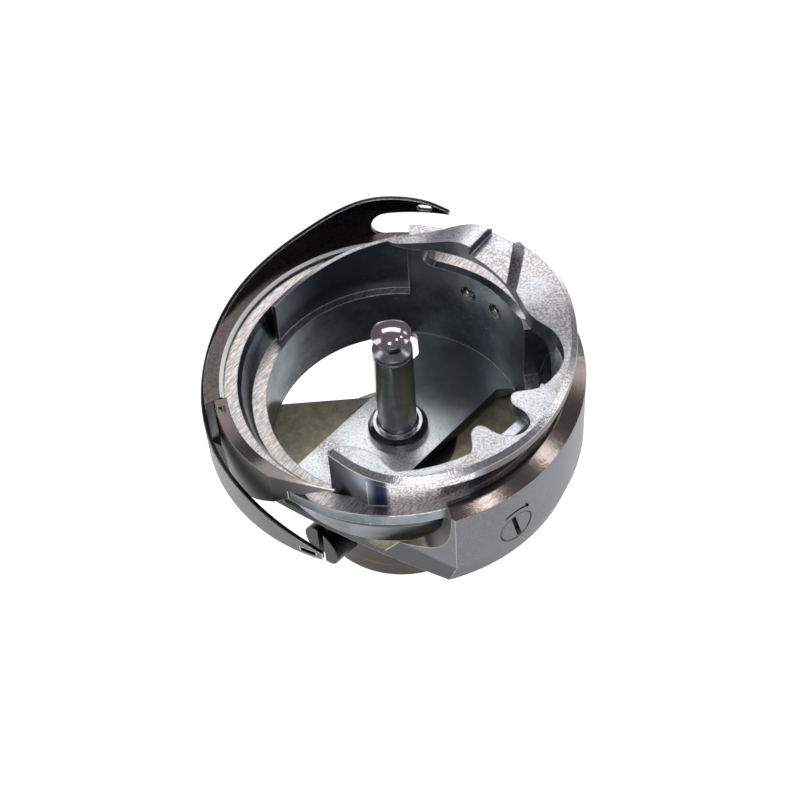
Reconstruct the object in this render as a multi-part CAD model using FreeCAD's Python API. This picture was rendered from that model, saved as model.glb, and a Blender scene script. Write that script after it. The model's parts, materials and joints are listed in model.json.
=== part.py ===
import FreeCAD, Part
import math
import os

# A complete rotary hook of a lockstitch sewing machine with its bobbin-case holder, in millimetres.
# The hook turns about +Z. Heights in this script are measured from the rim plane, which is the top
# outer edge of the hook's ring, and each piece is lifted by RIM_HEIGHT when it is written, so that
# the row frame's origin is the centre of the shaft bore at the hub's rear face.

V = FreeCAD.Vector

# Driving dimensions
RIM_HEIGHT = 22.8          # rear face of the hub to the rim plane
RIM_R = 19.0               # outside radius of the hook
BASKET_R = 13.0            # inside radius of the bobbin-case holder
SHAFT_BORE_R = 3.97        # bore for a 5/16 inch hook shaft (7.94 mm)
HUB_R = 9.5
STUD_R = 2.0               # centre stud that carries the bobbin case
BUTTON_Z = 5.8             # rim of the stud's low domed head
BUTTON_R = 1.97
BUTTON_DOME = 0.6
STUD_NECK_R = 1.25
STUD_FOOT_R = 2.2          # foot inside the collar

# Race: the rib of the holder runs in a groove of the hook
RIB_R = 17.35
RIB_TOP = 0.05
RIB_BOTTOM = -1.40
RACE_R = RIB_R + 0.08
RACE_TOP = RIB_TOP + 0.06
RACE_BOTTOM = RIB_BOTTOM - 0.06

# Hook body
LIP_R = 16.9               # inside edge of the ring's conical top face
LIP_CREST_R = 17.3
LIP_CREST_Z = 0.5
SHELL_R = 16.4             # inside wall below the race
SHELL_SKIRT_Z = -8.1       # where the outside wall ends and its chamfer starts
SHELL_FOOT = (18.3, -10.8)
FLOOR_TOP = -11.0
FLOOR_BOTTOM = -12.8
SPIGOT_R = 6.0             # the hub's spigot fills the hole in the body's floor
FLAT_ANGLE = -124.5        # direction of the flat milled across the point side
FLAT_DISTANCE = 12.6       # its distance from the axis
WINDOW_FRONT_Y = 5.7       # floor window behind this line, on the left

# Gib: the removable part of the race, and the guard around it
GIB_START = 62.0
GIB_END = 186.5
GIB_R = 18.95
GIB_SKIRT_R = 18.1
GIB_FOOT_Z = -6.0
GIB_SPLIT_Z = -0.8
GUARD_SHEET = 0.45         # sheet thickness
GUARD_R = GIB_R + GUARD_SHEET

# Holder
WALL_R = 16.2              # outside of the wall above the rib
POCKET_R = 15.2            # inside of the thin wall around the front
BACK_WALL_R = 13.9         # inside of the thin wall at the rear left
BACK_WALL_OUT_R = 14.35
WINDOW_WALL_OUT_R = 13.9   # the wall is thin where the window is
LEDGE_Z = -3.05
HOLDER_FLOOR_TOP = -9.2
COLLAR_TOP = -7.85         # collar around the foot of the stud
HOLDER_FLOOR_BOTTOM = -10.5
HOLDER_FOOT_Z = -10.0      # the wall ends a little above the floor's underside
FLANGE_BOTTOM = 3.9
NOTCH_FLOOR = 5.45         # floor of the position notch beside the block
FLANGE_R = 18.0
FLANGE_BEVEL = 0.6         # width of the bevel along the flange's top outer edge
FRONT_WALL = (-102.0, -24.0)  # angles covered by the wall at the front ...
RIGHT_WALL = (3.0, 80.0)      # ... at the right, with the window ...
BACK_WALL = (79.0, 145.5)     # ... and at the rear left; elsewhere it is cut down to the ledge
STRIP_ANGLE = 135.0        # normal of the floor strip that carries the stud
STRIP_REAR = 4.85          # distances of the strip's edges from the axis
STRIP_FRONT = 4.6
REAR_OPENING_X = 2.8       # the rear opening stops at this x ...
FRONT_OPENING_Y = 4.1      # ... and the front one at this y

# Screws: radius, head and slot sizes
GIB_SCREW_ANGLES = (80.0, 122.0, 172.0)
GUARD_SCREW_ANGLES = (100.0, 146.0)
RING_SCREW_Z = -3.4
RING_SCREW_R = 0.7
COUNTERSINK_R = 1.3
COUNTERSINK_DEPTH = 0.6
OIL_SCREW_ANGLE = -56.0
OIL_SCREW_Z = -5.6
OIL_SCREW_R = 1.8
OIL_SHANK_R = 0.8
WICK_R = 0.6
WICK_Z = (RACE_TOP + RACE_BOTTOM) / 2
SET_SCREW_ANGLES = (-138.0, -48.0)
SET_SCREW_Z = -17.8
SET_SCREW_R = 2.4
SET_SCREW_TIP_R = 4.6
SET_SCREW_HEAD_R = 12.0
RUNNING_GAP = 0.04         # radial play of a screw that turns or slides
PIN_ANGLES = (50.5, 34.0)
PIN_Z = -0.6
PIN_R = 0.85               # domed head, which sits in a shallow hole of the wall
PIN_SHANK_R = 0.6
PIN_SEAT_R = 13.6


# Helpers

def point(radius, degrees, z=0.0):
    angle = math.radians(degrees)
    return V(radius * math.cos(angle), radius * math.sin(angle), z)


def turned(shape, degrees):
    return shape.rotated(V(0, 0, 0), V(0, 0, 1), degrees)


def revolved(profile, start=0.0, end=360.0):
    """Solid of revolution of a closed (radius, z) profile between two angles about +Z."""
    corners = [V(radius, 0, z) for radius, z in profile]
    face = Part.Face(Part.makePolygon(corners + corners[:1]))
    return turned(face.revolve(V(0, 0, 0), V(0, 0, 1), end - start), start)


def sector(inner, outer, bottom, top, start=0.0, end=360.0):
    return revolved([(inner, bottom), (outer, bottom), (outer, top), (inner, top)], start, end)


def smooth_edge(points, radius):
    curve = Part.BSplineCurve()
    curve.interpolate([point(radius, degrees, z) for degrees, z in points])
    return curve.toShape()


def curtain(points, inner, outer, height):
    """Solid above (or, with a negative height, below) a smooth line of (angle, z) points."""
    surface = Part.makeRuledSurface(smooth_edge(points, inner), smooth_edge(points, outer))
    return surface.extrude(V(0, 0, height))


def slab(degrees, distance, depth=30.0, half_width=40.0, bottom=-30.0, top=30.0):
    """Block whose near face is a vertical plane, square to a direction, at a distance."""
    block = Part.makeBox(depth, 2 * half_width, top - bottom, V(distance, -half_width, bottom))
    return turned(block, degrees)


def spoke(radius, inner, outer, degrees, z):
    """Cylinder that lies along a radius of the hook."""
    return Part.makeCylinder(radius, outer - inner, point(inner, degrees, z), point(1, degrees))


def spoke_bar(width, depth, length, outer, degrees, z, tilt=0.0):
    """Bar across the end of a spoke: the cutter for a screwdriver slot."""
    bar = Part.makeBox(depth, width, length, V(outer - depth, -width / 2, -length / 2))
    bar = bar.rotated(V(0, 0, 0), V(1, 0, 0), tilt).translated(V(0, 0, z))
    return turned(bar, degrees)


def outline_prism(points, bottom, height):
    """Prism on a smooth closed plan outline of (radius, angle) points."""
    curve = Part.BSplineCurve()
    curve.interpolate([point(radius, degrees, bottom) for radius, degrees in points], PeriodicFlag=True)
    return Part.Face(Part.Wire(curve.toShape())).extrude(V(0, 0, height))


def single(shape):
    """The largest solid of a result, with its seams merged."""
    solid = max(shape.Solids, key=lambda part: part.Volume)
    return solid.removeSplitter()


# Hook side

RING_PROFILE = [
    (RACE_R, RACE_TOP),
    (LIP_R, RACE_TOP),
    (LIP_R, LIP_CREST_Z - 0.15),
    (LIP_CREST_R, LIP_CREST_Z),
]

BODY_PROFILE = RING_PROFILE + [
    (RIM_R, 0.0),
    (RIM_R, SHELL_SKIRT_Z),
    SHELL_FOOT,
    (HUB_R, FLOOR_BOTTOM),
    (SPIGOT_R, FLOOR_BOTTOM),
    (SPIGOT_R, FLOOR_TOP),
    (13.9, FLOOR_TOP),
    (14.8, -8.0),
    (SHELL_R, -4.2),
    (SHELL_R, RACE_BOTTOM),
    (RACE_R, RACE_BOTTOM),
]

# Lines of (angle, z) that bound the hook point, which leaves the ring at the left and ends in a tip
POINT_TIP = -110.5
POINT_R = 17.95
POINT_TOP = [(-180, 0.4), (-160, 0.6), (-148, 1.1), (-138, 1.6), (-127, 1.9), (-116, 2.3), (-106, 2.75)]
POINT_BOTTOM = [(-180, -7.5), (-152, -6.4), (-143, -4.7), (-136, -2.9), (-128, -0.9), (-120, 1.1),
                (-112, 2.45), (-106, 3.2)]

# Line of (angle, z) of the U-shaped cut beside the end of the shell
THREAD_CUT = [(-135, -9.2), (-112, -8.8), (-100, -8.5), (-91, -8.3), (-84, -7.6), (-79.5, -5.8),
              (-77.3, -3.0), (-76.6, 1.5)]


def hook_point():
    arm = sector(SHELL_R, POINT_R, -9.0, 4.0, GIB_END - 359.9, POINT_TIP + 1.0)
    arm = arm.cut(curtain(POINT_TOP, 15.5, 19.5, 6.0))
    arm = arm.cut(curtain(POINT_BOTTOM, 15.5, 19.5, -12.0))
    arm = arm.cut(sector(15.0, RACE_R, RACE_BOTTOM, RACE_TOP, -180.0, -100.0))
    arm = arm.cut(sector(15.0, 16.7, RACE_TOP, 5.0, -180.0, -100.0))
    tip = point(16.95, POINT_TIP)
    root = point(POINT_R, -134.0)
    along = (root - tip).normalize()
    outward = V(along.y, -along.x, 0)
    if outward.dot(tip) < 0:
        outward = outward * -1
    distance = outward.dot(tip)
    return arm.cut(slab(math.degrees(math.atan2(outward.y, outward.x)), distance))


def oil_mark():
    """Shallow curved arrow beside the oil screw."""
    centre = point(RIM_R - 0.15, OIL_SCREW_ANGLE, OIL_SCREW_Z)
    axis = point(1, OIL_SCREW_ANGLE)
    ring = Part.makeCylinder(2.75, 1.0, centre, axis).cut(Part.makeCylinder(2.5, 1.0, centre, axis))
    window = Part.makeBox(3.0, 2.6, 1.2, V(RIM_R - 1.5, -1.3, 2.05))
    arc = ring.common(turned(window.translated(V(0, 0, OIL_SCREW_Z)), OIL_SCREW_ANGLE))
    barb = spoke_bar(0.25, 1.0, 0.9, RIM_R + 0.85, OIL_SCREW_ANGLE + 3.9, OIL_SCREW_Z + 2.45, 25.0)
    return arc.fuse(barb)


def make_hook_body():
    body = revolved(BODY_PROFILE)
    body = body.cut(sector(GIB_SKIRT_R, 20.0, GIB_FOOT_Z, 1.0, GIB_START, 190.0))
    body = body.cut(sector(LIP_R - 1.0, 20.0, GIB_SPLIT_Z, 1.0, GIB_START, 190.0))
    window = Part.makeBox(40.0, 40.0, 10.0, V(-34.0, WINDOW_FRONT_Y, -15.0))
    body = body.cut(window.common(Part.makeCylinder(SHELL_R, 12.0, V(0, 0, -16.0))))
    body = body.cut(slab(FLAT_ANGLE, FLAT_DISTANCE))
    body = body.cut(curtain(THREAD_CUT, 11.0, 21.0, 14.0))
    body = body.fuse(hook_point())
    body = body.cut(spoke(OIL_SCREW_R + RUNNING_GAP, 17.4, 20.0, OIL_SCREW_ANGLE, OIL_SCREW_Z))
    body = body.cut(spoke(OIL_SHANK_R + RUNNING_GAP, 15.0, 18.0, OIL_SCREW_ANGLE, OIL_SCREW_Z))
    body = body.cut(spoke(WICK_R, 17.0, 18.5, OIL_SCREW_ANGLE, WICK_Z))
    body = body.cut(oil_mark())
    for angle in GIB_SCREW_ANGLES + GUARD_SCREW_ANGLES:
        body = body.cut(spoke(RING_SCREW_R, 16.0, 19.0, angle, RING_SCREW_Z))
    return single(body)


def make_hub():
    hub = revolved([
        (SHAFT_BORE_R, -RIM_HEIGHT),
        (HUB_R - 0.5, -RIM_HEIGHT),
        (HUB_R, -RIM_HEIGHT + 0.5),
        (HUB_R, -14.6),
        (7.4, FLOOR_BOTTOM),
        (SPIGOT_R, FLOOR_BOTTOM),
        (SPIGOT_R, FLOOR_TOP),
        (SHAFT_BORE_R, FLOOR_TOP),
    ])
    for angle in SET_SCREW_ANGLES:
        hub = hub.cut(spoke(SET_SCREW_R + RUNNING_GAP, 2.0, 13.0, angle, SET_SCREW_Z))
    return single(hub)


def countersink(angle):
    """Cone of a gib screw's flat head."""
    base = point(GIB_R - COUNTERSINK_DEPTH, angle, RING_SCREW_Z)
    return Part.makeCone(RING_SCREW_R, COUNTERSINK_R, COUNTERSINK_DEPTH, base, point(1, angle))


def make_gib():
    gib = revolved(RING_PROFILE + [
        (GIB_R, 0.03),
        (GIB_R, GIB_FOOT_Z),
        (GIB_SKIRT_R, GIB_FOOT_Z),
        (GIB_SKIRT_R, GIB_SPLIT_Z),
        (RACE_R, GIB_SPLIT_Z),
    ], GIB_START, GIB_END)
    for angle in GIB_SCREW_ANGLES:
        gib = gib.cut(countersink(angle)).cut(spoke(RING_SCREW_R, 17.0, 20.0, angle, RING_SCREW_Z))
    for angle in GUARD_SCREW_ANGLES:
        gib = gib.cut(spoke(RING_SCREW_R, 17.0, 20.0, angle, RING_SCREW_Z))
    return single(gib)


def make_gib_screw(angle):
    screw = countersink(angle).fuse(spoke(RING_SCREW_R, 16.6, GIB_R - 0.5, angle, RING_SCREW_Z))
    screw = screw.common(Part.makeCylinder(GIB_R, 20.0, V(0, 0, -12.0)))
    return single(screw.cut(spoke_bar(0.3, 0.3, 4.0, GIB_R, angle, RING_SCREW_Z)))


# Lines of (angle, z) that bound the thread guard, a sheet rolled around the gib, and the slot in its end
GUARD_TOP = [(60, 2.9), (68, 3.5), (75, 4.4), (84, 4.9), (93, 4.95), (102, 4.3), (113, 3.05), (127, 1.9),
             (143, 0.95), (159, -0.2), (180, -1.4), (200, -2.0), (217, -2.3), (228, -3.1), (238.5, -4.2),
             (248, -5.6)]
GUARD_BOTTOM = [(60, -1.5), (75, -4.4), (90, -5.9), (120, -6.6), (160, -6.7), (200, -6.4), (230, -6.2),
                (248, -6.0)]
SLOT_TOP = [(58, 3.5), (68, 3.3), (80, 3.05), (92, 2.85)]
SLOT_END_ANGLE = 88.5
EYE_ENDS = (75.2, 77.4)
SLOT_BOTTOM = [(58, -2.2), (75, -1.7), (85, -0.9), (92, -0.25)]


def make_thread_guard():
    guard = sector(GIB_R, GUARD_R, -8.0, 6.0, 68.5, 245.0)
    guard = guard.cut(curtain(GUARD_TOP, 18.0, 21.0, 10.0))
    guard = guard.cut(curtain(GUARD_BOTTOM, 18.0, 21.0, -8.0))
    slot = curtain(SLOT_BOTTOM, 18.0, 21.0, 9.0).cut(curtain(SLOT_TOP, 17.9, 21.1, 9.0))
    slot = slot.common(sector(18.2, 20.8, -6.0, 6.0, 60.0, SLOT_END_ANGLE))
    guard = guard.cut(slot).cut(spoke(1.66, 18.2, 20.8, SLOT_END_ANGLE, 1.2))
    guard = guard.cut(sector(18.2, 20.8, 3.4, 4.2, *EYE_ENDS))
    for degrees in EYE_ENDS:
        guard = guard.cut(spoke(0.4, 18.2, 20.8, degrees, 3.8))
    tail_slit = sector(18.2, 20.8, -5.75, -5.1, 238.0, 243.0)
    room_for_skirt = sector(18.2, 20.8, -9.0, GIB_FOOT_Z, 60.0, 192.0)
    guard = guard.cut(tail_slit).cut(room_for_skirt)
    for angle in GUARD_SCREW_ANGLES:
        guard = guard.cut(spoke(0.75, 18.2, 20.8, angle, RING_SCREW_Z))
    return single(guard)


def make_guard_screw(angle):
    saddle = Part.makeCylinder(GUARD_R + 0.02, 20.0, V(0, 0, -12.0))
    head = spoke(1.4, GUARD_R - 0.2, GUARD_R + 0.55, angle, RING_SCREW_Z).cut(saddle)
    screw = head.fuse(spoke(RING_SCREW_R, 16.6, GUARD_R + 0.3, angle, RING_SCREW_Z))
    return single(screw.cut(spoke_bar(0.35, 0.3, 4.0, GUARD_R + 0.55, angle, RING_SCREW_Z, 35.0)))


def make_oil_screw():
    ring = Part.makeCylinder(RIM_R - 0.03, 20.0, V(0, 0, -15.0))
    head = spoke(OIL_SCREW_R, 17.44, 19.5, OIL_SCREW_ANGLE, OIL_SCREW_Z).common(ring)
    screw = head.fuse(spoke(OIL_SHANK_R, 16.7, 17.6, OIL_SCREW_ANGLE, OIL_SCREW_Z))
    return single(screw.cut(spoke_bar(0.5, 0.55, 5.0, RIM_R, OIL_SCREW_ANGLE, OIL_SCREW_Z, 13.0)))


def make_oil_wick():
    return spoke(WICK_R, 17.5, 18.5, OIL_SCREW_ANGLE, WICK_Z)


def make_set_screw(angle):
    shank = spoke(SET_SCREW_R, SET_SCREW_TIP_R + 0.6, SET_SCREW_HEAD_R, angle, SET_SCREW_Z)
    base = point(SET_SCREW_TIP_R, angle, SET_SCREW_Z)
    tip = Part.makeCone(SET_SCREW_R - 0.7, SET_SCREW_R, 0.6, base, point(1, angle))
    screw = shank.fuse(tip)
    return single(screw.cut(spoke_bar(0.85, 1.2, 6.0, SET_SCREW_HEAD_R, angle, SET_SCREW_Z)))


# Holder side

HOLDER_PROFILE = [
    (0.0, HOLDER_FLOOR_BOTTOM),
    (12.2, HOLDER_FLOOR_BOTTOM),
    (12.7, HOLDER_FOOT_Z),
    (13.4, HOLDER_FOOT_Z),
    (14.2, -7.8),
    (15.9, -4.0),
    (15.9, RIB_BOTTOM),
    (RIB_R, RIB_BOTTOM),
    (RIB_R, RIB_TOP),
    (15.6, RIB_TOP),
    (15.2, -0.5),
    (14.7, -2.7),
    (14.4, LEDGE_Z),
    (BASKET_R, LEDGE_Z),
    (BASKET_R, HOLDER_FLOOR_TOP),
    (0.0, HOLDER_FLOOR_TOP),
]

# Plan outline of the flange, (radius, angle): outer edge anticlockwise, then the horned inner edge back
FLANGE_OUTLINE = [
    (14.5, -117.5), (14.9, -113.5), (15.8, -106), (16.9, -95), (17.5, -82), (17.8, -68), (FLANGE_R, -50),
    (FLANGE_R, -30), (FLANGE_R, -10), (FLANGE_R, 12), (17.8, 27), (17.2, 38), (16.8, 46), (16.7, 53),
    (16.0, 60), (15.2, 68), (14.7, 76), (14.5, 85), (13.95, 88), (13.2, 84), (12.95, 76), (12.95, 60),
    (12.95, 44), (12.95, 28), (13.1, 12), (13.6, 3.5), (14.4, -0.5), (15.6, -4.4), (16.5, -10),
    (16.85, -16), (16.4, -23), (15.6, -29), (14.3, -33), (13.6, -36.5), (14.2, -40.3), (15.4, -40.8),
    (16.9, -43.5), (17.1, -48.5), (16.3, -52.4), (15.0, -54.8), (13.75, -57.0), (13.75, -60.0),
    (15.2, -64.0), (16.5, -69.5), (16.8, -76), (16.6, -87), (15.3, -95), (13.9, -100), (13.4, -106),
    (13.6, -114),
]

# Lines of (angle, z) of the flange's top face: rear tab, and front with the block at the right
BACK_WALL_TOP = [(80, 4.65), (92, 3.85), (104, 3.2), (118, 2.5), (150, 2.2)]
TAB_TOP = [(47, 6.5), (56, 6.5), (64, 5.8), (71, 5.15)] + BACK_WALL_TOP
TAB_END = 49.0
BLOCK_CORNERS = ((17.0, 40.3), (13.4, 27.6))   # foot of the block's sloping face, (radius, angle)
BLOCK_LEAN = 51.0
FRONT_TOP = [(-125, 4.6), (-100, 5.1), (-75, 5.3), (-30, 5.3), (-12, 5.6), (5, 6.2), (18, 6.45), (52, 6.5)]


# The part of the outline that is the outer edge, from the left end to the rear end of the tab
BEVELLED_POINTS = 18

# Lines of (angle, z) that bound the window in the wall
WINDOW_BOTTOM = [(0, 5.4), (9, 4.1), (18, 2.9), (30, 2.3), (45, 2.0), (56, 1.75), (72, 1.7)]
WINDOW_TOP = [(0, 4.95), (20, 4.95), (35, 4.9), (50, 4.6), (60, 4.3), (72, 4.1)]


def holder_wall():
    """Wall under the flange. Its left end is a solid block with the flange's outline."""
    top = FLANGE_BOTTOM + 0.2
    front = sector(POCKET_R, WALL_R, RIB_TOP - 0.6, top, *FRONT_WALL)
    block = sector(11.0, 17.0, LEDGE_Z - 0.1, top, FRONT_WALL[0] - 25.0, FRONT_WALL[0] + 0.2)
    block = block.common(outline_prism(FLANGE_OUTLINE, LEDGE_Z - 1.0, 9.0))
    front = front.fuse(block)
    right = sector(BASKET_R, WALL_R, LEDGE_Z - 0.2, top, *RIGHT_WALL)
    right = right.cut(sector(WINDOW_WALL_OUT_R, 17.0, RIB_TOP, FLANGE_BOTTOM, 8.0, 71.0))
    return front.fuse(right)


def wall_window():
    """Cutter for the long window with a rounded left end."""
    outer = WINDOW_WALL_OUT_R + 0.6
    window = curtain(WINDOW_BOTTOM, 11.0, 18.8, 6.0).cut(curtain(WINDOW_TOP, 10.9, 18.9, 6.0))
    window = window.common(sector(12.0, outer, 0.0, 6.0, 7.0, 68.0))
    return window.fuse(spoke(1.2, 12.0, outer, 68.0, 2.95))


def holder_back_wall():
    wall = sector(BACK_WALL_R, BACK_WALL_OUT_R, LEDGE_Z - 0.2, 5.5, *BACK_WALL)
    return wall.cut(curtain([(60, 5.6), (71, 5.25)] + BACK_WALL_TOP, 12.0, 17.0, 6.0))


def position_notch():
    """Cutter between the block, whose face slopes, and the end of the tab."""
    outer, inner = (point(radius, degrees, NOTCH_FLOOR) for radius, degrees in BLOCK_CORNERS)
    foot = (inner - outer).normalize()
    away = V(foot.y, -foot.x, 0)
    notch = slab(math.degrees(math.atan2(away.y, away.x)), away.dot(outer))
    notch = notch.rotated(outer, foot, -BLOCK_LEAN)
    room = sector(11.0, 19.5, NOTCH_FLOOR, 12.0, 5.0, TAB_END)
    return notch.common(room)


def height_at(points, degrees):
    """Height of a line of (angle, z) points at an angle."""
    for (left, low), (right, high) in zip(points, points[1:]):
        if left <= degrees <= right:
            return low + (high - low) * (degrees - left) / (right - left)
    return points[-1][1]


def flange_bevel():
    """Cutter for the sloping edge that follows the flange's outer edge."""
    inner = []
    outer = []
    for radius, degrees in FLANGE_OUTLINE[:BEVELLED_POINTS]:
        top = height_at(FRONT_TOP if degrees < TAB_END else TAB_TOP, degrees)
        inner.append(point(radius - 2 * FLANGE_BEVEL, degrees, top + 0.8 * FLANGE_BEVEL))
        outer.append(point(radius + FLANGE_BEVEL, degrees, top - 1.6 * FLANGE_BEVEL))
    curves = []
    for line in (inner, outer):
        curve = Part.BSplineCurve()
        curve.interpolate(line)
        curves.append(curve.toShape())
    return Part.makeRuledSurface(*curves).extrude(V(0, 0, 6.0))


def holder_flange():
    plate = outline_prism(FLANGE_OUTLINE, FLANGE_BOTTOM, 4.0)
    front = sector(11.0, 19.5, 0.0, 12.0, -124.0, TAB_END)
    above_front = curtain(FRONT_TOP, 10.0, 20.0, 8.0).common(front)
    tab = sector(11.0, 19.5, 0.0, 12.0, TAB_END, 140.0)
    above_tab = curtain(TAB_TOP, 10.0, 20.0, 8.0).common(tab)
    return plate.cut(above_front).cut(above_tab).cut(flange_bevel()).cut(position_notch())


def floor_openings():
    """The two openings beside the floor strip, each closed by a stop with a rounded corner."""
    disc = Part.makeCylinder(BASKET_R, 4.0, V(0, 0, -12.0))
    rear = disc.common(slab(STRIP_ANGLE, STRIP_REAR)).cut(slab(0.0, REAR_OPENING_X))
    front = disc.common(slab(STRIP_ANGLE + 180.0, STRIP_FRONT)).cut(slab(90.0, FRONT_OPENING_Y))
    openings = []
    for opening in (rear, front):
        upright = [edge for edge in opening.Edges if abs(edge.tangentAt(edge.FirstParameter).z) > 0.9]
        openings.append(opening.makeFillet(0.9, upright))
    return openings


def make_holder():
    holder = revolved(HOLDER_PROFILE).fuse(holder_wall()).fuse(holder_back_wall())
    holder = holder.fuse(holder_flange()).cut(wall_window())
    for opening in floor_openings():
        holder = holder.cut(opening)
    holder = holder.cut(Part.makeCylinder(1.5, 4.0, V(0, 0, -12.0)))
    for angle in PIN_ANGLES:
        holder = holder.cut(spoke(PIN_R + 0.1, 12.0, 13.25, angle, PIN_Z))
        holder = holder.cut(spoke(PIN_R, 13.2, PIN_SEAT_R, angle, PIN_Z))
        holder = holder.cut(spoke(PIN_SHANK_R, 13.5, 15.4, angle, PIN_Z))
    return single(holder)


def make_centre_stud():
    tail = HOLDER_FLOOR_BOTTOM - 0.25
    profile = [
        (0.0, tail),
        (2.4, tail),
        (2.4, HOLDER_FLOOR_BOTTOM),
        (1.5, HOLDER_FLOOR_BOTTOM),
        (1.5, HOLDER_FLOOR_TOP),
        (STUD_FOOT_R, HOLDER_FLOOR_TOP),
        (STUD_FOOT_R, COLLAR_TOP),
        (STUD_R, COLLAR_TOP + 0.1),
        (STUD_R, 3.0),
        (STUD_R - 0.12, 3.15),
        (STUD_R, 3.3),
        (STUD_R, 3.6),
        (STUD_R - 0.08, 3.72),
        (STUD_NECK_R, 4.1),
        (STUD_NECK_R, BUTTON_Z - 0.6),
        (BUTTON_R - 0.06, BUTTON_Z - 0.12),
        (BUTTON_R, BUTTON_Z),
        (0.0, BUTTON_Z),
    ]
    cap_r = (BUTTON_R ** 2 + BUTTON_DOME ** 2) / (2 * BUTTON_DOME)
    cap = Part.makeSphere(cap_r, V(0, 0, BUTTON_Z + BUTTON_DOME - cap_r))
    cap = cap.common(Part.makeCylinder(BUTTON_R, 2.0, V(0, 0, BUTTON_Z)))
    return single(revolved(profile).fuse(cap))


def make_stud_collar():
    return single(revolved([
        (STUD_FOOT_R, HOLDER_FLOOR_TOP),
        (3.1, HOLDER_FLOOR_TOP),
        (3.1, HOLDER_FLOOR_TOP + 0.6),
        (2.95, HOLDER_FLOOR_TOP + 0.75),
        (2.55, COLLAR_TOP),
        (STUD_FOOT_R, COLLAR_TOP),
    ]))


def make_wall_pin(angle):
    height = PIN_SEAT_R - BASKET_R
    dome_r = (PIN_R ** 2 + height ** 2) / (2 * height)
    dome = Part.makeSphere(dome_r, point(BASKET_R + dome_r, angle, PIN_Z))
    dome = dome.common(spoke(PIN_R, 12.0, PIN_SEAT_R, angle, PIN_Z))
    return single(dome.fuse(spoke(PIN_SHANK_R, PIN_SEAT_R, 15.4, angle, PIN_Z)))


def all_nodes():
    nodes = {
        "hook_body": make_hook_body(),
        "hub": make_hub(),
        "race_gib": make_gib(),
        "thread_guard": make_thread_guard(),
        "oil_screw": make_oil_screw(),
        "oil_wick": make_oil_wick(),
        "bobbin_case_holder": make_holder(),
        "centre_stud": make_centre_stud(),
        "stud_collar": make_stud_collar(),
    }
    for name, angle in zip(("rear", "middle", "left"), GIB_SCREW_ANGLES):
        nodes["gib_screw_" + name] = make_gib_screw(angle)
    for name, angle in zip(("rear", "left"), GUARD_SCREW_ANGLES):
        nodes["guard_screw_" + name] = make_guard_screw(angle)
    for name, angle in zip(("left", "right"), SET_SCREW_ANGLES):
        nodes["hub_set_screw_" + name] = make_set_screw(angle)
    for name, angle in zip(("left", "right"), PIN_ANGLES):
        nodes["wall_pin_" + name] = make_wall_pin(angle)
    return nodes


os.makedirs("parts", exist_ok=True)
for node_name, node_shape in all_nodes().items():
    node_shape.translated(V(0, 0, RIM_HEIGHT)).exportStep("parts/" + node_name + ".step")
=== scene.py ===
import json
import math

import bpy
from mathutils import Matrix, Vector

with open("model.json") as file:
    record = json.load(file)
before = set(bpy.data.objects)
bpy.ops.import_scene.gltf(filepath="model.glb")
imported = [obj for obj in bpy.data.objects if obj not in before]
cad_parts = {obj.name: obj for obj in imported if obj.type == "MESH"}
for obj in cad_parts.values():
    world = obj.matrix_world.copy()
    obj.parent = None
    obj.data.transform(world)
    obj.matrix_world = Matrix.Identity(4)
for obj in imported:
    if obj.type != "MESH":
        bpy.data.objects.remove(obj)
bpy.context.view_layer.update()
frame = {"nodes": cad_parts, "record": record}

# Looks of a rotary hook with its bobbin-case holder: metal finishes, floor, lights and camera.
# The hook turns about +Z and stands on its hub. Objects are in metres. The heights and radii that the
# finishes use are in millimetres, and their sectors are in degrees about +Z, counted from +X.

MM = 0.001

RIM_Z = 22.8                        # height of the ring's outer edge

# Hook body
RING_TOP_Z = RIM_Z - 0.75           # the polished top of the ring is above this
BODY_FLOOR_Z = RIM_Z - 6.75         # the matt floor is below this
LOW_CHAMFER_Z = RIM_Z - 8.15        # the chamfer at the shell's lower edge is below this
DARK_REFLECTION_TOP = (-85.0, -5.0)            # sector where a dark reflection is painted on the ring's polished top
POINT_START = -112.0                # where the painted dark reflection on the hook point starts
POINT_DARK = -132.0                 # where it reaches full strength, and it stays along the hook point

# Oil screw and the direction mark engraved above it
OIL_SCREW_ANGLE = -56.0
OIL_SCREW_Z = RIM_Z - 5.6
OIL_SCREW_R = 1.8
OIL_SCREW_SHADE_GAP = 0.15                # width of the painted shade in the gap around its head
OIL_SCREW_SECTOR = 30.0             # to each side of it
MARK_REACH = 3.4                    # distance from the screw's axis that the mark stays within
MARK_R = 18.93                      # the bottom of the engraved line is nearer to the axis than this

# Gib, guard and screws
GIB_BEVEL_R = 17.32                 # outer edge of the gib's inner bevel, which carries a painted highlight
GUARD_MIDDLE_R = 19.28              # between the guard's two faces
SLOT_R = 18.82                      # the screws' slots are cut deeper than this, and painted shade darkens them there
SCREW_FACE_R = 18.92                # edges nearer to the axis than this get no wear and no painted highlight

# Holder
HOLDER_FLOOR_Z = RIM_Z - 8.5        # the floor is below this
LEDGE_LOW_Z = RIM_Z - 3.4           # the ledge is between these two
LEDGE_HIGH_Z = RIM_Z + 0.6
SKIRT_Z = RIM_Z - 1.5               # the skirt is below this
BAND_Z = RIM_Z - 0.1                # the wall under the flange is above this
FLANGE_Z = RIM_Z + 2.3              # the flange's top and bevel are above this
REAR_WALL = (78.0, 146.0)           # sector of the thin rear wall
REAR_WALL_Z = RIM_Z - 3.05          # foot of that wall
TAB_END = (47.0, 49.6)              # sector of the end face of the flange's tab
TAB_END_Z = RIM_Z + 5.5             # foot of that face
DARK_REFLECTION_BAND = (-101.0, -94.5)        # sectors of the bands painted on the wall under the flange: a dark reflection, a speckled highlight and shade
SPECKLED_HIGHLIGHT_BAND = (-95.0, -68.0)
SHADED_BAND = (-66.0, 20.0)

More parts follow.
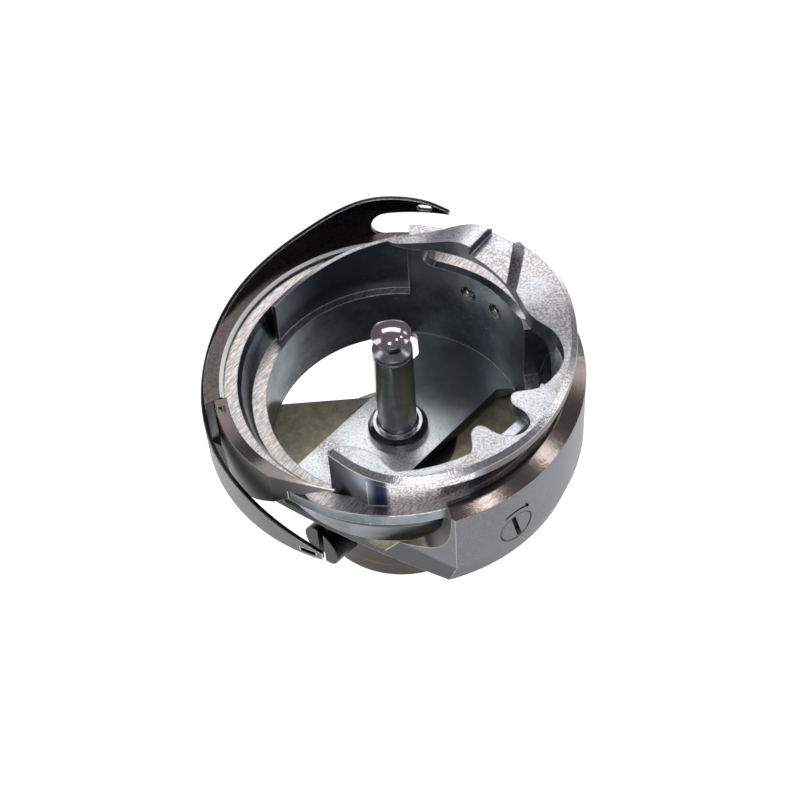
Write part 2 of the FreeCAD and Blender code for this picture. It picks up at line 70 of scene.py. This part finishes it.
STUD_BUTTON_Z = RIM_Z + 4.8         # the button on the stud is above this

STREAK_STRETCH = 7.0                # length of a brushed line over its width
WORN_ROUGHNESS = 0.3

# Camera: looks at the centre of the rim from the front and above, then is turned a little
CAMERA_DISTANCE = 0.180
CAMERA_ELEVATION = math.radians(50.86)
CAMERA_ROLL = math.radians(-4.457)
CAMERA_YAW = math.radians(0.121)
CAMERA_PITCH = math.radians(-0.907)
CAMERA_LENS = 81.70
SENSOR_WIDTH = 36.0

# Studio
FLOOR_SIZE = 3.0
FLOOR_GLOW = 0.92
SKY_COLOUR = (0.9, 0.92, 1.0, 1.0)
SKY_GLOW = 0.16

# Sockets of a Mix node: its two values and its result, for colours and for numbers
MIX_SOCKETS = {"RGBA": (6, 7, 2), "FLOAT": (2, 3, 0)}


def rgb(red, green, blue):
    return (red, green, blue, 1.0)


def grey(value, warmth=0.0):
    """A grey, or a slightly warm or cool one."""
    return rgb(value * (1 + warmth), value, value * (1 - warmth))


# Node helpers

class Tree:
    """A material with a Principled shader, and short ways to add nodes to it.

    Its values: place (the point), x, y, z, radius and angle of that point; facing (the face's direction in
    the scene); up (1 on faces that look up, 0 on walls) and outward (1 on walls that face away from the
    axis, -1 on walls that face it). All but facing are measured on the piece, so they turn with it."""

    def __init__(self, name):
        self.material = bpy.data.materials.new(name)
        self.material.use_nodes = True
        self.tree = self.material.node_tree
        self.shader = self.tree.nodes["Principled BSDF"]
        self.shader.inputs["Metallic"].default_value = 1.0
        coordinates = self.add("ShaderNodeTexCoord")
        self.place = coordinates.outputs["Object"]
        self.x, self.y, self.z = self.parts(self.in_mm())
        self.radius = self.diagonal(self.x, self.y)
        self.angle = self.maths("ARCTAN2", self.y, self.x)
        self.facing = self.add("ShaderNodeNewGeometry").outputs["Normal"]
        self.up = self.parts(coordinates.outputs["Normal"])[2]
        level = self.vector("MULTIPLY", self.place, (1, 1, 0)).outputs[0]
        radial = self.vector("NORMALIZE", level).outputs[0]
        self.outward = self.vector("DOT_PRODUCT", radial, coordinates.outputs["Normal"]).outputs["Value"]

    def add(self, kind, **settings):
        node = self.tree.nodes.new(kind)
        for key, value in settings.items():
            setattr(node, key, value)
        return node

    def link(self, source, target):
        """Feeds an input from another node's output, or from a plain value."""
        if hasattr(source, "is_output"):
            self.tree.links.new(source, target)
        else:
            target.default_value = source

    def maths(self, operation, a, b=0.0):
        node = self.add("ShaderNodeMath", operation=operation)
        self.link(a, node.inputs[0])
        self.link(b, node.inputs[1])
        return node.outputs[0]

    def vector(self, operation, a, b=(0, 0, 0)):
        node = self.add("ShaderNodeVectorMath", operation=operation)
        self.link(a, node.inputs[0])
        self.link(b, node.inputs[1])
        return node

    def in_mm(self, factor=1.0):
        """The point in millimetres, times a factor."""
        node = self.vector("SCALE", self.place)
        node.inputs["Scale"].default_value = factor / MM
        return node.outputs[0]

    def parts(self, vector):
        node = self.add("ShaderNodeSeparateXYZ")
        self.link(vector, node.inputs[0])
        return node.outputs

    def diagonal(self, a, b):
        squares = self.maths("ADD", self.maths("MULTIPLY", a, a), self.maths("MULTIPLY", b, b))
        return self.maths("SQRT", squares)

    def off_spoke(self, degrees, height):
        """Distance from a line that leaves the axis level, at an angle and a height."""
        angle = math.radians(degrees)
        along = self.maths("SUBTRACT", self.maths("MULTIPLY", self.y, math.cos(angle)),
                           self.maths("MULTIPLY", self.x, math.sin(angle)))
        return self.diagonal(along, self.maths("SUBTRACT", self.z, height))

    def ramp(self, value, low, high, out_low=0.0, out_high=1.0):
        """A smooth step of a value, from out_low at low to out_high at high."""
        node = self.add("ShaderNodeMapRange", interpolation_type="SMOOTHSTEP")
        self.link(value, node.inputs["Value"])
        node.inputs["From Min"].default_value = low
        node.inputs["From Max"].default_value = high
        node.inputs["To Min"].default_value = out_low
        node.inputs["To Max"].default_value = out_high
        return node.outputs[0]

    def over(self, value, edge, soft):
        """1 where a value is over an edge and 0 where it is under, soft to each side of the edge."""
        return self.ramp(value, edge - soft, edge + soft)

    def under(self, value, edge, soft):
        """1 where a value is under an edge and 0 where it is over, soft to each side of the edge."""
        return self.ramp(value, edge - soft, edge + soft, 1.0, 0.0)

    def sweep(self, start, end, soft=0.3):
        """1 between two angles, with soft ends."""
        start, end, soft = math.radians(start), math.radians(end), math.radians(soft)
        return self.maths("MULTIPLY", self.over(self.angle, start, soft), self.under(self.angle, end, soft))

    def all_of(self, *masks):
        result = masks[0]
        for mask in masks[1:]:
            result = self.maths("MULTIPLY", result, mask)
        return result

    def mix(self, kind, factor, a, b):
        node = self.add("ShaderNodeMix", data_type=kind)
        first, second, result = MIX_SOCKETS[kind]
        self.link(factor, node.inputs[0])
        self.link(a, node.inputs[first])
        self.link(b, node.inputs[second])
        return node.outputs[result]

    def mixed(self, factor, a, b):
        """Colour a where the factor is 0, and colour b where it is 1."""
        return self.mix("RGBA", factor, a, b)

    def blend(self, factor, a, b):
        """Number a where the factor is 0, and number b where it is 1."""
        return self.mix("FLOAT", factor, a, b)

    def noise(self, scale, detail=3.0, roughness=0.55, vector=None):
        """Noise of about `scale` grains per millimetre."""
        node = self.add("ShaderNodeTexNoise")
        self.link(self.in_mm() if vector is None else vector, node.inputs["Vector"])
        node.inputs["Scale"].default_value = scale
        node.inputs["Detail"].default_value = detail
        node.inputs["Roughness"].default_value = roughness
        return node.outputs["Fac"]

    def turned_grain(self, scale):
        """Fine rings left by turning: they change with radius and height, and hardly around the axis."""
        node = self.add("ShaderNodeCombineXYZ")
        self.link(self.maths("MULTIPLY", self.radius, scale), node.inputs[0])
        self.link(self.maths("MULTIPLY", self.z, scale), node.inputs[1])
        self.link(self.maths("MULTIPLY", self.angle, 1.2), node.inputs[2])
        return self.noise(1.0, 2.0, 0.6, node.outputs[0])

    def streaks(self, scale, degrees):
        """Brushed lines that run in one direction on the level faces."""
        turn = self.add("ShaderNodeMapping", vector_type="TEXTURE")
        turn.inputs["Rotation"].default_value = (0, 0, math.radians(degrees))
        turn.inputs["Scale"].default_value = (1.0, 1 / STREAK_STRETCH, 1.0)
        self.link(self.in_mm(scale), turn.inputs["Vector"])
        return self.noise(1.0, 3.0, 0.6, turn.outputs[0])

    def edges(self, width):
        """1 on the piece's edges, where handling has polished them and a highlight is painted, and the
        face's rounded direction.
        """
        bevel = self.add("ShaderNodeBevel", samples=4)
        bevel.inputs["Radius"].default_value = width * MM
        rounded = bevel.outputs[0]
        turned = self.vector("DOT_PRODUCT", rounded, self.facing).outputs["Value"]
        return self.ramp(turned, 0.97, 0.86), rounded

    def finish(self, colour, roughness, bump, depth,
               edge_width=0.12, edge_highlight_colour=grey(0.9), edge_strength=0.8):
        """Joins colour, roughness and a bump of a depth to the shader, with worn edges that carry a painted
        highlight.
        """
        mask, rounded = self.edges(edge_width)
        mask = self.maths("MULTIPLY", mask, edge_strength)
        # painted highlight: the worn edges' colour is mixed towards the bright edge colour
        self.link(self.mixed(mask, colour, edge_highlight_colour), self.shader.inputs["Base Color"])
        self.link(self.blend(mask, roughness, WORN_ROUGHNESS), self.shader.inputs["Roughness"])
        node = self.add("ShaderNodeBump")
        node.inputs["Distance"].default_value = depth * MM
        node.inputs["Strength"].default_value = 1.0
        self.link(bump, node.inputs["Height"])
        self.link(rounded, node.inputs["Normal"])
        self.link(node.outputs[0], self.shader.inputs["Normal"])
        return self.material


# Finishes

def hook_steel():
    """Satin ground outside, mirror-like ring top, dull olive floor, painted shade on the lower chamfer, and
    painted dark reflections on the ring's top and on the hook point.
    """
    t = Tree("hook_steel")
    fine = t.noise(5.0)
    broad = t.noise(0.22)
    rings = t.turned_grain(6.0)
    upward = t.ramp(t.up, 0.55, 0.75)

    # outside of the shell, with painted shade on its lower chamfer
    outside = t.mixed(broad, grey(0.135, -0.02), grey(0.185, -0.02))
    outside = t.mixed(t.ramp(fine, 0.4, 0.8), outside, grey(0.22, -0.02))
    outside = t.mixed(t.under(t.z, LOW_CHAMFER_Z, 0.25), outside, grey(0.08, -0.02))

    # top of the ring, polished, with a painted dark reflection in one sector
    top = t.all_of(upward, t.over(t.z, RING_TOP_Z, 0.25))
    polished = t.mixed(t.ramp(broad, 0.40, 0.60), rgb(0.46, 0.37, 0.35), rgb(0.66, 0.60, 0.58))
    polished = t.mixed(t.sweep(*DARK_REFLECTION_TOP, 9.0), polished, rgb(0.27, 0.22, 0.21))

    # hook point: a nearly black painted reflection on its outside and on its top
    point = t.ramp(t.angle, math.radians(POINT_START), math.radians(POINT_DARK), 0.0, 0.85)
    outside = t.mixed(point, outside, rgb(0.035, 0.033, 0.034))
    polished = t.mixed(point, polished, rgb(0.04, 0.034, 0.034))

    # painted shade in the gap around the oil screw, and the engraved mark above it
    to_screw = t.off_spoke(OIL_SCREW_ANGLE, OIL_SCREW_Z)
    screw_side = t.sweep(OIL_SCREW_ANGLE - OIL_SCREW_SECTOR, OIL_SCREW_ANGLE + OIL_SCREW_SECTOR)
    near_screw = t.all_of(screw_side, t.under(to_screw, MARK_REACH, 0.1))
    screw_gap_shade = t.all_of(screw_side, t.under(to_screw, OIL_SCREW_R + OIL_SCREW_SHADE_GAP, 0.05))
    above_screw = t.over(t.z, OIL_SCREW_Z + 0.2, 0.2)
    outer_half = t.ramp(t.outward, -0.4, -0.2)
    mark = t.all_of(near_screw, above_screw, outer_half, t.under(t.radius, MARK_R, 0.03))

    inside = t.ramp(t.outward, 0.0, 0.2, 1.0, 0.0)
    colour = t.mixed(inside, outside, rgb(0.16, 0.15, 0.13))
    colour = t.mixed(t.maths("MAXIMUM", screw_gap_shade, mark), colour, grey(0.012))
    colour = t.mixed(top, colour, polished)
    floor = t.all_of(upward, t.under(t.z, BODY_FLOOR_Z, 0.25))
    matt = t.mixed(t.ramp(t.noise(1.4, 4.0), 0.3, 0.7), rgb(0.66, 0.62, 0.46), rgb(0.90, 0.85, 0.66))
    colour = t.mixed(floor, colour, matt)

    rough = t.blend(fine, 0.34, 0.46)
    rough = t.blend(top, rough, t.blend(fine, 0.10, 0.17))
    rough = t.blend(floor, rough, 0.6)
    height = t.maths("ADD", t.maths("MULTIPLY", fine, 0.6), t.maths("MULTIPLY", rings, 0.4))
    return t.finish(colour, rough, height, 0.008, edge_strength=t.blend(near_screw, 0.8, 0.0))


def hub_steel():
    """Dark brownish steel with fine rings from turning."""
    t = Tree("hub_steel")
    rings = t.turned_grain(5.0)
    colour = t.mixed(t.noise(0.3, 2.0), rgb(0.045, 0.038, 0.034), rgb(0.10, 0.088, 0.08))
    colour = t.mixed(t.ramp(rings, 0.5, 0.8), colour, rgb(0.17, 0.155, 0.145))
    return t.finish(colour, t.blend(rings, 0.3, 0.45), rings, 0.012, edge_strength=0.5)


def gib_steel():
    """Ground pinkish-grey top, with painted shade on its sides and a painted highlight on the inner bevel.
    """
    t = Tree("gib_steel")
    fine = t.blend(0.5, t.noise(3.4, 4.0), t.streaks(1.3, 60.0))
    colour = t.mixed(t.ramp(fine, 0.35, 0.7), rgb(0.36, 0.295, 0.28), rgb(0.62, 0.55, 0.53))
    # painted shade: the side faces are darker than the top
    side = t.ramp(t.up, 0.4, 0.7, 1.0, 0.0)
    colour = t.mixed(side, colour, grey(0.16))
    # painted highlight on the inner bevel
    bevel = t.all_of(t.under(t.radius, GIB_BEVEL_R, 0.04), t.ramp(t.up, 0.4, 0.7))
    colour = t.mixed(bevel, colour, grey(0.92))
    return t.finish(colour, t.blend(fine, 0.28, 0.42), fine, 0.012, edge_width=0.1)


def guard_steel():
    """Blued sheet: glossy inside and painted nearly black there as a dark reflection, satin grey outside,
    with white painted highlights on its edges.
    """
    t = Tree("guard_steel")
    fine = t.noise(4.0)
    broad = t.noise(0.25)
    # painted dark reflection: the inside is nearly black
    inner = t.mixed(broad, rgb(0.010, 0.010, 0.013), rgb(0.04, 0.038, 0.04))
    outer = t.mixed(broad, grey(0.09), grey(0.17))
    outside = t.over(t.radius, GUARD_MIDDLE_R, 0.08)
    colour = t.mixed(outside, inner, outer)
    rough = t.blend(outside, t.blend(fine, 0.24, 0.32), t.blend(fine, 0.3, 0.42))
    # white painted highlights on the sheet's edges
    return t.finish(colour, rough, fine, 0.006, edge_width=0.2, edge_highlight_colour=grey(1.0), edge_strength=1.0)


def holder_walls(t, fine, broad):
    """Smooth blue-grey, with painted shade on the thin rear wall, at the end of the tab and on the skirt.
    """
    wall = t.mixed(t.ramp(broad, 0.35, 0.65), rgb(0.10, 0.12, 0.14), rgb(0.27, 0.30, 0.32))
    wall = t.mixed(t.ramp(fine, 0.5, 0.8), wall, rgb(0.34, 0.37, 0.38))
    # painted shade on the thin rear wall, fading towards the right
    fading = t.ramp(t.x, -6.0, 1.5, 1.0, 0.35)
    rear = t.all_of(t.sweep(*REAR_WALL), t.over(t.z, REAR_WALL_Z, 0.05), fading)
    wall = t.mixed(rear, wall, t.mixed(broad, rgb(0.035, 0.045, 0.06), rgb(0.11, 0.13, 0.155)))
    # painted shade on the end face of the tab
    tab_end_shade = t.all_of(t.sweep(*TAB_END), t.over(t.z, TAB_END_Z, 0.1))
    wall = t.mixed(tab_end_shade, wall, rgb(0.03, 0.033, 0.05))
    # painted shade on the skirt
    skirt = t.all_of(t.ramp(t.outward, 0.3, 0.5), t.under(t.z, SKIRT_Z, 0.1))
    return t.mixed(skirt, wall, t.mixed(broad, rgb(0.045, 0.055, 0.07), rgb(0.13, 0.145, 0.165)))


def flange_bands(t, fine, broad):
    """Bands on the wall under the flange: grey-blue, then a painted dark reflection, then a speckled
    painted highlight, then painted shade.
    """
    band = t.mixed(t.sweep(*DARK_REFLECTION_BAND, 2.5), rgb(0.34, 0.38, 0.43), rgb(0.016, 0.017, 0.05))
    # painted highlight with bright speckles
    speckled = t.mixed(t.ramp(fine, 0.4, 0.6), rgb(0.42, 0.39, 0.40), grey(0.95))
    band = t.mixed(t.sweep(*SPECKLED_HIGHLIGHT_BAND, 0.8), band, speckled)
    # painted shade
    shaded = t.mixed(broad, rgb(0.07, 0.06, 0.06), rgb(0.2, 0.18, 0.18))
    return t.mixed(t.sweep(*SHADED_BAND, 3.0), band, shaded)


def frosted(t, fine, broad):
    """Frosted plating with brighter and darker patches."""
    frost = t.mixed(t.ramp(broad, 0.38, 0.58), rgb(0.44, 0.40, 0.41), rgb(0.76, 0.79, 0.83))
    frost = t.mixed(t.ramp(fine, 0.42, 0.60, 0.0, 0.75), frost, grey(1.0))
    return t.mixed(t.ramp(t.noise(5.5), 0.56, 0.68, 0.0, 0.7), frost, rgb(0.24, 0.22, 0.23))


def holder_steel():
    """Bright plated steel: frosted on its flat faces, smooth blue-grey on its walls, with painted
    highlights, reflections and shade on its bevel, walls and floor.
    """
    t = Tree("holder_steel")
    fine = t.noise(4.2, 4.0, 0.65)
    broad = t.noise(0.16)
    upward = t.ramp(t.up, 0.55, 0.8)
    front = t.all_of(t.ramp(t.outward, 0.3, 0.5), t.over(t.z, BAND_Z, 0.1))
    high = t.over(t.z, FLANGE_Z, 0.3)
    flange_top = t.all_of(upward, high)
    frost = frosted(t, fine, broad)
    colour = t.mixed(front, holder_walls(t, fine, broad), flange_bands(t, fine, broad))

    # painted light: the floor turns from frosted to a smooth blue-grey towards the back right, standing in
    # for the light and reflection that change across it
    smooth = t.mixed(t.ramp(broad, 0.35, 0.65), rgb(0.46, 0.50, 0.52), rgb(0.66, 0.70, 0.72))
    shade = t.ramp(t.maths("ADD", t.x, t.y), -1.0, 7.0)
    floor = t.all_of(upward, t.under(t.z, HOLDER_FLOOR_Z, 0.3))
    colour = t.mixed(floor, colour, t.mixed(shade, frost, smooth))
    colour = t.mixed(flange_top, colour, frost)

    # the ledge is brushed
    ledge = t.all_of(upward, t.over(t.z, LEDGE_LOW_Z, 0.2), t.under(t.z, LEDGE_HIGH_Z, 0.2))
    brushed = t.ramp(t.streaks(1.3, 50.0), 0.35, 0.65)
    colour = t.mixed(ledge, colour, t.mixed(brushed, rgb(0.40, 0.35, 0.34), rgb(0.80, 0.77, 0.76)))

    # a highlight is painted on the flange's polished bevel
    bevel = t.all_of(front, high, t.ramp(t.up, 0.3, 0.4), t.ramp(t.up, 0.92, 0.96, 1.0, 0.0))
    bright = t.mixed(t.ramp(fine, 0.45, 0.6), rgb(0.80, 0.76, 0.77), grey(1.0))
    colour = t.mixed(bevel, colour, bright)

    rough = t.blend(fine, 0.26, 0.38)
    rough = t.blend(flange_top, rough, t.blend(broad, 0.26, 0.40))
    rough = t.blend(bevel, rough, 0.16)
    height = t.maths("MULTIPLY", fine, t.maths("ADD", upward, 0.15))
    height = t.maths("ADD", height, t.maths("MULTIPLY", broad, 3.0))
    return t.finish(colour, rough, height, 0.02, edge_width=0.16, edge_strength=0.9)


def stud_steel():
    """Polished steel, pinkish on the button."""
    t = Tree("stud_steel")
    fine = t.noise(3.0, 2.0)
    colour = t.mixed(t.noise(0.7, 3.0, 0.5), rgb(0.32, 0.34, 0.36), rgb(0.62, 0.62, 0.62))
    button = t.over(t.z, STUD_BUTTON_Z, 0.2)
    colour = t.mixed(button, colour, rgb(0.66, 0.58, 0.60))
    return t.finish(colour, t.blend(button, t.blend(fine, 0.16, 0.26), 0.12), fine, 0.004, edge_width=0.08)


def screw_steel():
    """Satin grey heads, with painted shade in their slots."""
    t = Tree("screw_steel")
    fine = t.noise(4.0)
    colour = t.mixed(t.ramp(fine, 0.35, 0.7), grey(0.13, -0.01), grey(0.20, -0.01))
    # painted shade in the slots
    colour = t.mixed(t.under(t.radius, SLOT_R, 0.04), colour, grey(0.008))
    edge_wear_and_highlight = t.blend(t.under(t.radius, SCREW_FACE_R, 0.02), 0.15, 0.0)
    return t.finish(colour, t.blend(fine, 0.34, 0.46), fine, 0.008, edge_width=0.06, edge_strength=edge_wear_and_highlight)


def set_screw_oxide():
    """Black oxide."""
    t = Tree("set_screw_oxide")
    fine = t.noise(4.0)
    colour = t.mixed(t.ramp(fine, 0.4, 0.75), grey(0.006), grey(0.022))
    return t.finish(colour, t.blend(fine, 0.28, 0.4), fine, 0.01, edge_strength=0.12)


def felt():
    """Cream felt of the oil wick."""
    t = Tree("felt")
    t.shader.inputs["Metallic"].default_value = 0.0
    fine = t.noise(9.0, 4.0)
    colour = t.mixed(fine, rgb(0.55, 0.5, 0.4), rgb(0.8, 0.77, 0.68))
    return t.finish(colour, t.blend(fine, 0.85, 0.95), fine, 0.05, edge_strength=0.0)


FINISHES = {
    "hook_steel": hook_steel,
    "hub_steel": hub_steel,
    "gib_steel": gib_steel,
    "guard_steel": guard_steel,
    "holder_steel": holder_steel,
    "stud_steel": stud_steel,
    "screw_steel": screw_steel,
    "set_screw_oxide": set_screw_oxide,
    "felt": felt,
}

slots = {part["node"]: part["material_slot"] for part in frame["record"]["subparts"]}
made = {slot: make() for slot, make in FINISHES.items()}
for name, node in frame["nodes"].items():
    for material_slot in node.material_slots:
        material_slot.material = made[slots[name]]


# Floor, lights, camera

def add_floor():
    """A pale paper floor that gives off light of its own, so it stays nearly white."""
    bpy.ops.mesh.primitive_plane_add(size=FLOOR_SIZE)
    plane = bpy.context.object
    plane.name = "floor"
    t = Tree("floor_paper")
    t.shader.inputs["Metallic"].default_value = 0.0
    colour = t.mixed(t.noise(0.03, 2.0), grey(0.97), grey(1.0))
    t.link(colour, t.shader.inputs["Base Color"])
    t.shader.inputs["Roughness"].default_value = 0.9
    t.link(colour, t.shader.inputs["Emission Color"])
    t.shader.inputs["Emission Strength"].default_value = FLOOR_GLOW
    plane.data.materials.append(t.material)


def rim_centre():
    return Vector((0, 0, RIM_Z * MM))


def add_light(name, glow, size, azimuth, elevation, distance):
    """A rectangular soft light that faces the rim's centre, as bright as its glow when seen in a mirror.

    Azimuth 0 is at the back (+Y), and it grows towards the right (+X)."""
    data = bpy.data.lights.new(name, "AREA")
    data.shape = "RECTANGLE"
    data.size, data.size_y = size
    data.energy = glow * math.pi * size[0] * size[1]
    light = bpy.data.objects.new(name, data)
    bpy.context.scene.collection.objects.link(light)
    across, rise = math.radians(azimuth), math.radians(elevation)
    away = Vector((math.sin(across) * math.cos(rise), math.cos(across) * math.cos(rise), math.sin(rise)))
    light.location = rim_centre() + away * distance
    light.rotation_euler = away.to_track_quat("Z", "Y").to_euler()


def add_sky():
    world = bpy.data.worlds.new("studio")
    world.use_nodes = True
    background = world.node_tree.nodes["Background"]
    background.inputs["Color"].default_value = SKY_COLOUR
    background.inputs["Strength"].default_value = SKY_GLOW
    bpy.context.scene.world = world


def add_camera():
    """Places the camera in front of the rim's centre, aims it by yaw and pitch, and rolls it."""
    away = Vector((0, -math.cos(CAMERA_ELEVATION), math.sin(CAMERA_ELEVATION)))
    right = Vector((1, 0, 0))
    forward = -away
    upward = right.cross(forward)
    forward = (forward + math.tan(CAMERA_YAW) * right + math.tan(CAMERA_PITCH) * upward).normalized()
    level = forward.cross(upward).normalized()
    upright = level.cross(forward)
    side = math.cos(CAMERA_ROLL) * level + math.sin(CAMERA_ROLL) * upright
    top = math.cos(CAMERA_ROLL) * upright - math.sin(CAMERA_ROLL) * level
    data = bpy.data.cameras.new("camera")
    data.lens = CAMERA_LENS
    data.sensor_width = SENSOR_WIDTH
    data.clip_start = 0.01
    camera = bpy.data.objects.new("camera", data)
    bpy.context.scene.collection.objects.link(camera)
    turn = Matrix((side, top, -forward)).transposed()
    camera.matrix_world = Matrix.Translation(rim_centre() + away * CAMERA_DISTANCE) @ turn.to_4x4()
    bpy.context.scene.camera = camera


add_floor()
add_light("back_softbox", 2.1, (0.34, 0.12), 2, 48, 0.42)
add_light("right_back_softbox", 1.4, (0.07, 0.05), 48, 38, 0.42)
add_light("left_softbox", 1.2, (0.10, 0.26), -75, 40, 0.40)
add_light("right_softbox", 1.5, (0.08, 0.24), 84, 34, 0.40)
add_light("ceiling_lamp_right", 9.0, (0.026, 0.020), 62, 57.6, 0.40)
add_light("ceiling_lamp_front", 9.0, (0.030, 0.024), 76, 73.4, 0.40)
add_light("ceiling_lamp_left", 7.0, (0.040, 0.040), 215, 80, 0.40)
add_light("front_softbox", 1.6, (0.30, 0.16), 180, 42, 0.50)
add_sky()
add_camera()
bpy.context.scene.view_settings.view_transform = "Standard"
